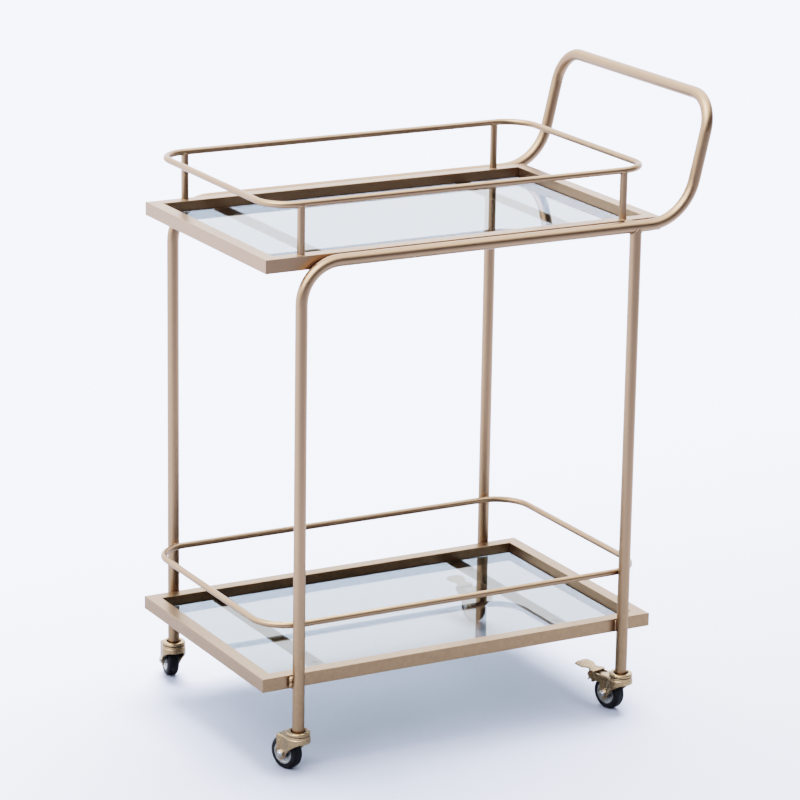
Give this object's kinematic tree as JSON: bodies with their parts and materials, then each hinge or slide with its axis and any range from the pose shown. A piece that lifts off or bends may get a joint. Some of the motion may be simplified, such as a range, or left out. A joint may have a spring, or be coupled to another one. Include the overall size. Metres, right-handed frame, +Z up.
{
  "type": "bar cart on wheels",
  "caption": "Two-tier bar cart: gold bent tube frame with a push handle, glass shelves, rod galleries and swivel casters with foot brakes.",
  "frame": {"origin": "on the floor, under the middle of the model's bounding box", "axes": "+Z up, +X along the trays towards the push handle, +Y across to the rear"},
  "size_m": [0.7272, 0.5238, 0.9337],
  "materials": {
    "gold_frame": "satin champagne gold",
    "gold_caster": "semi-gloss yellow gold plating",
    "zinc_steel": "bright zinc",
    "silver_hub": "satin silver",
    "clear_glass": "clear float glass with a faint green edge",
    "black_tread": "matte black",
    "clear_pads": "clear silicone"
  },
  "bodies": {
    "root": {"bent_main_tube": "gold_frame", "front_left_caster_stem": "zinc_steel", "front_left_swivel_balls": "zinc_steel", "front_left_swivel_cap": "gold_caster", "front_right_caster_stem": "zinc_steel", "front_right_swivel_balls": "zinc_steel", "front_right_swivel_cap": "gold_caster", "glass_pads": "clear_pads", "leg_inserts": "zinc_steel", "lower_gallery_rail": "gold_frame", "lower_glass_panel": "clear_glass", "lower_tray_front_bar": "gold_frame", "lower_tray_left_bar": "gold_frame", "lower_tray_left_strap": "gold_frame", "lower_tray_rear_bar": "gold_frame", "lower_tray_right_bar": "gold_frame", "lower_tray_right_strap": "gold_frame", "rear_left_caster_stem": "zinc_steel", "rear_left_swivel_balls": "zinc_steel", "rear_left_swivel_cap": "gold_caster", "rear_right_caster_stem": "zinc_steel", "rear_right_swivel_balls": "zinc_steel", "rear_right_swivel_cap": "gold_caster", "right_front_leg": "gold_frame", "right_rear_leg": "gold_frame", "upper_gallery_front_left_post": "gold_frame", "upper_gallery_front_right_post": "gold_frame", "upper_gallery_rail": "gold_frame", "upper_gallery_rear_left_post": "gold_frame", "upper_gallery_rear_right_post": "gold_frame", "upper_glass_panel": "clear_glass", "upper_tray_front_bar": "gold_frame", "upper_tray_left_bar": "gold_frame", "upper_tray_left_strap": "gold_frame", "upper_tray_rear_bar": "gold_frame", "upper_tray_right_bar": "gold_frame", "upper_tray_right_strap": "gold_frame", "weld_spacers": "gold_frame"},
    "front_left_fork_body": {"front_left_axle_bolt": "zinc_steel", "front_left_fork": "gold_caster"},
    "front_left_wheel_body": {"front_left_tyre": "black_tread", "front_left_wheel_hub": "silver_hub"},
    "rear_left_fork_body": {"rear_left_axle_bolt": "zinc_steel", "rear_left_fork": "gold_caster"},
    "rear_left_wheel_body": {"rear_left_tyre": "black_tread", "rear_left_wheel_hub": "silver_hub"},
    "front_right_fork_body": {"front_right_axle_bolt": "zinc_steel", "front_right_brake_pin": "gold_caster", "front_right_brake_spring": "gold_caster", "front_right_fork": "gold_caster"},
    "front_right_wheel_body": {"front_right_tyre": "black_tread", "front_right_wheel_hub": "silver_hub"},
    "rear_right_fork_body": {"rear_right_axle_bolt": "zinc_steel", "rear_right_brake_pin": "gold_caster", "rear_right_brake_spring": "gold_caster", "rear_right_fork": "gold_caster"},
    "rear_right_wheel_body": {"rear_right_tyre": "black_tread", "rear_right_wheel_hub": "silver_hub"},
    "front_right_pedal_body": {"front_right_brake_pedal": "gold_caster"},
    "rear_right_pedal_body": {"rear_right_brake_pedal": "gold_caster"}
  },
  "joints": [
    {"name": "front_left_swivel", "type": "hinge", "parent": "root", "child": "front_left_fork_body", "pos_m": [-0.31112, -0.24387, 0.0534], "axis": [0, 0, 1], "continuous": true},
    {"name": "front_left_wheel_spin", "type": "hinge", "parent": "front_left_fork_body", "child": "front_left_wheel_body", "pos_m": [-0.31845, -0.22259, 0.025], "axis": [-0.9455, -0.3256, 0], "continuous": true},
    {"name": "rear_left_swivel", "type": "hinge", "parent": "root", "child": "rear_left_fork_body", "pos_m": [-0.31112, 0.17563, 0.0534], "axis": [0, 0, 1], "continuous": true},
    {"name": "rear_left_wheel_spin", "type": "hinge", "parent": "rear_left_fork_body", "child": "rear_left_wheel_body", "pos_m": [-0.30722, 0.19779, 0.025], "axis": [-0.9848, 0.1736, 0], "continuous": true},
    {"name": "front_right_swivel", "type": "hinge", "parent": "root", "child": "front_right_fork_body", "pos_m": [0.22987, -0.24387, 0.0534], "axis": [0, 0, 1], "continuous": true},
    {"name": "front_right_wheel_spin", "type": "hinge", "parent": "front_right_fork_body", "child": "front_right_wheel_body", "pos_m": [0.22443, -0.22204, 0.025], "axis": [-0.9703, -0.2419, 0], "continuous": true},
    {"name": "rear_right_swivel", "type": "hinge", "parent": "root", "child": "rear_right_fork_body", "pos_m": [0.22987, 0.17563, 0.0534], "axis": [0, 0, 1], "continuous": true},
    {"name": "rear_right_wheel_spin", "type": "hinge", "parent": "rear_right_fork_body", "child": "rear_right_wheel_body", "pos_m": [0.22831, 0.19808, 0.025], "axis": [-0.9976, -0.0698, 0], "continuous": true},
    {"name": "front_right_brake", "type": "hinge", "parent": "front_right_fork_body", "child": "front_right_pedal_body", "pos_m": [0.21705, -0.19244, 0.0465], "axis": [-0.9703, -0.2419, 0], "range_deg": [0, 18]},
    {"name": "rear_right_brake", "type": "hinge", "parent": "rear_right_fork_body", "child": "rear_right_pedal_body", "pos_m": [0.22618, 0.2285, 0.0465], "axis": [-0.9976, -0.0698, 0], "range_deg": [0, 18]}
  ]
}
